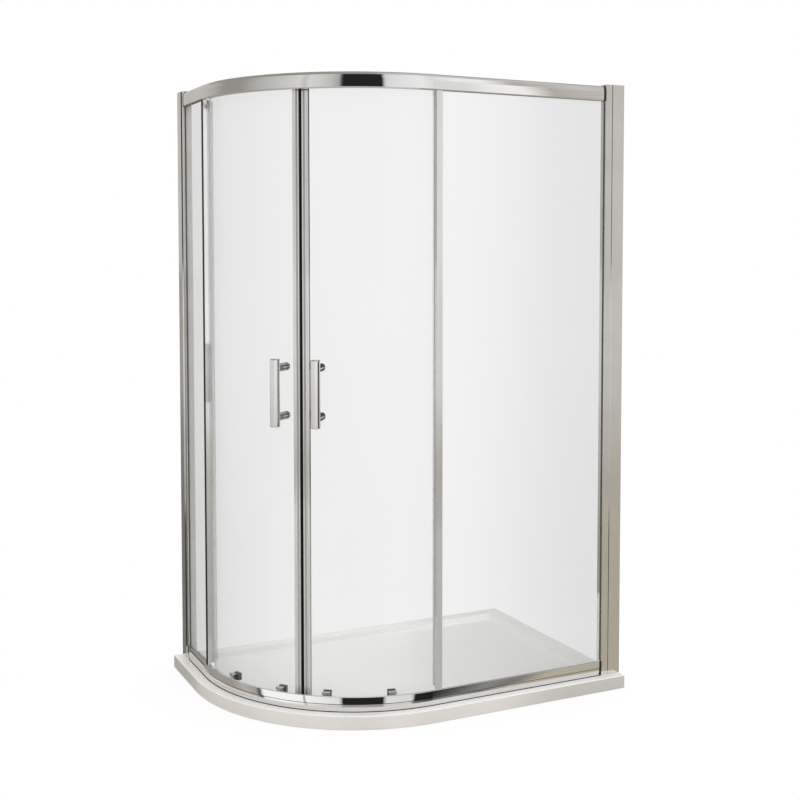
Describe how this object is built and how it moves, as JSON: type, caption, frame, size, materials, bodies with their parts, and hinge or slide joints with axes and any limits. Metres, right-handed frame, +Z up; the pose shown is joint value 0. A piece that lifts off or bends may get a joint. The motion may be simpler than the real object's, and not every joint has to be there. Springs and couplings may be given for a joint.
{
  "type": "shower enclosure",
  "caption": "Offset quadrant shower enclosure on a low white tray, with flat fixed panels, curved sliding glass doors, bar handles and polished rails.",
  "frame": {"origin": "on the floor, at the middle of the tray's rectangular outline", "axes": "+X along the long wall towards the room's corner, +Y towards the long wall, +Z up"},
  "size_m": [1.2, 0.8, 1.85],
  "materials": {
    "acrylic": "gloss white cast surface",
    "chrome": "polished",
    "chrome_frame": "bright polished extrusion",
    "glass": "clear toughened",
    "clear_seal": "clear flexible",
    "black_plastic": "fine satin",
    "black_rubber": "smooth",
    "grey_plastic": "satin",
    "white_nylon": "satin",
    "screw_steel": "bright"
  },
  "bodies": {
    "base": {"shower_tray": "acrylic", "top_rail": "chrome_frame", "bottom_rail": "chrome_frame", "rail_end_blocks": "black_plastic", "wall_channel_right": "chrome_frame", "wall_channel_left": "chrome_frame", "side_frame_right": "chrome_frame", "side_frame_left": "chrome_frame", "glazing_gasket_right": "black_rubber", "glazing_gasket_left": "black_rubber", "frame_lock_screws": "screw_steel", "fixed_glass_right": "glass", "fixed_glass_left": "glass", "edge_profile_right": "chrome_frame", "edge_profile_left": "chrome_frame", "edge_fin_right": "clear_seal", "edge_fin_left": "clear_seal", "groove_covers": "chrome_frame", "door_stops": "black_plastic"},
    "left_door": {"door_glass_left": "glass", "meeting_profile_left": "chrome_frame", "magnetic_strip_left": "black_rubber", "trailing_seal_left": "clear_seal", "handle_bar_left": "chrome", "handle_posts_left": "chrome", "handle_nuts_left": "chrome", "top_roller_caps_left": "chrome", "top_roller_bushes_left": "grey_plastic", "bottom_roller_housings_left": "grey_plastic", "bottom_roller_axles_left": "screw_steel", "wheel_clips_left": "screw_steel"},
    "top_wheel_left_near": {"top_wheel_left_near": "white_nylon"},
    "bottom_wheel_left_near": {"bottom_wheel_left_near": "white_nylon"},
    "release_button_left_near": {"release_button_left_near": "grey_plastic"},
    "top_wheel_left_far": {"top_wheel_left_far": "white_nylon"},
    "bottom_wheel_left_far": {"bottom_wheel_left_far": "white_nylon"},
    "release_button_left_far": {"release_button_left_far": "grey_plastic"},
    "right_door": {"door_glass_right": "glass", "meeting_profile_right": "chrome_frame", "magnetic_strip_right": "black_rubber", "trailing_seal_right": "clear_seal", "handle_bar_right": "chrome", "handle_posts_right": "chrome", "handle_nuts_right": "chrome", "top_roller_caps_right": "chrome", "top_roller_bushes_right": "grey_plastic", "bottom_roller_housings_right": "grey_plastic", "bottom_roller_axles_right": "screw_steel", "wheel_clips_right": "screw_steel"},
    "top_wheel_right_near": {"top_wheel_right_near": "white_nylon"},
    "bottom_wheel_right_near": {"bottom_wheel_right_near": "white_nylon"},
    "release_button_right_near": {"release_button_right_near": "grey_plastic"},
    "top_wheel_right_far": {"top_wheel_right_far": "white_nylon"},
    "bottom_wheel_right_far": {"bottom_wheel_right_far": "white_nylon"},
    "release_button_right_far": {"release_button_right_far": "grey_plastic"}
  },
  "joints": [
    {"name": "left_door_slide", "type": "hinge", "parent": "base", "child": "left_door", "pos_m": [-0.04, 0.1575, 0.945], "axis": [0, 0, -1], "range_deg": [0, 23.5]},
    {"name": "top_wheel_left_near_spin", "type": "hinge", "parent": "left_door", "child": "top_wheel_left_near", "pos_m": [-0.43974, -0.16001, 1.8203], "axis": [-0.7826, -0.6225, 0], "range_deg": [-1440, 1440]},
    {"name": "bottom_wheel_left_near_spin", "type": "hinge", "parent": "left_door", "child": "bottom_wheel_left_near", "pos_m": [-0.43974, -0.16001, 0.0698], "axis": [-0.7826, -0.6225, 0], "range_deg": [-1440, 1440]},
    {"name": "release_button_left_near_press", "type": "slide", "parent": "left_door", "child": "release_button_left_near", "axis": [-0.7826, -0.6225, 0], "range_m": [0, 0.004], "stiffness_N_per_m": 600, "springref_m": -0.002},
    {"name": "top_wheel_left_far_spin", "type": "hinge", "parent": "left_door", "child": "top_wheel_left_far", "pos_m": [-0.52774, 0.00939, 1.8203], "axis": [-0.9593, -0.2823, 0], "range_deg": [-1440, 1440]},
    {"name": "bottom_wheel_left_far_spin", "type": "hinge", "parent": "left_door", "child": "bottom_wheel_left_far", "pos_m": [-0.52774, 0.00939, 0.0698], "axis": [-0.9593, -0.2823, 0], "range_deg": [-1440, 1440]},
    {"name": "release_button_left_far_press", "type": "slide", "parent": "left_door", "child": "release_button_left_far", "axis": [-0.9593, -0.2823, 0], "range_m": [0, 0.004], "stiffness_N_per_m": 600, "springref_m": -0.002},
    {"name": "right_door_slide", "type": "hinge", "parent": "base", "child": "right_door", "pos_m": [-0.0325, 0.1775, 0.945], "axis": [0, 0, 1], "range_deg": [0, 23]},
    {"name": "top_wheel_right_near_spin", "type": "hinge", "parent": "right_door", "child": "top_wheel_right_near", "pos_m": [-0.33493, -0.25844, 1.8203], "axis": [-0.5721, -0.8202, 0], "range_deg": [-1440, 1440]},
    {"name": "bottom_wheel_right_near_spin", "type": "hinge", "parent": "right_door", "child": "bottom_wheel_right_near", "pos_m": [-0.33493, -0.25844, 0.0698], "axis": [-0.5721, -0.8202, 0], "range_deg": [-1440, 1440]},
    {"name": "release_button_right_near_press", "type": "slide", "parent": "right_door", "child": "release_button_right_near", "axis": [-0.5721, -0.8202, 0], "range_m": [0, 0.004], "stiffness_N_per_m": 600, "springref_m": -0.002},
    {"name": "top_wheel_right_far_spin", "type": "hinge", "parent": "right_door", "child": "top_wheel_right_far", "pos_m": [-0.16033, -0.33562, 1.8203], "axis": [-0.2215, -0.9751, 0], "range_deg": [-1440, 1440]},
    {"name": "bottom_wheel_right_far_spin", "type": "hinge", "parent": "right_door", "child": "bottom_wheel_right_far", "pos_m": [-0.16033, -0.33562, 0.0698], "axis": [-0.2215, -0.9751, 0], "range_deg": [-1440, 1440]},
    {"name": "release_button_right_far_press", "type": "slide", "parent": "right_door", "child": "release_button_right_far", "axis": [-0.2215, -0.9751, 0], "range_m": [0, 0.004], "stiffness_N_per_m": 600, "springref_m": -0.002}
  ],
  "couplings": [
    {"joint": "top_wheel_left_near_spin", "follows": "left_door_slide", "ratio": 42.541},
    {"joint": "bottom_wheel_left_near_spin", "follows": "left_door_slide", "ratio": 53.736},
    {"joint": "top_wheel_left_far_spin", "follows": "left_door_slide", "ratio": 42.477},
    {"joint": "bottom_wheel_left_far_spin", "follows": "left_door_slide", "ratio": 53.656},
    {"joint": "top_wheel_right_near_spin", "follows": "right_door_slide", "ratio": -44.214},
    {"joint": "bottom_wheel_right_near_spin", "follows": "right_door_slide", "ratio": -55.849},
    {"joint": "top_wheel_right_far_spin", "follows": "right_door_slide", "ratio": -44.067},
    {"joint": "bottom_wheel_right_far_spin", "follows": "right_door_slide", "ratio": -55.664}
  ]
}
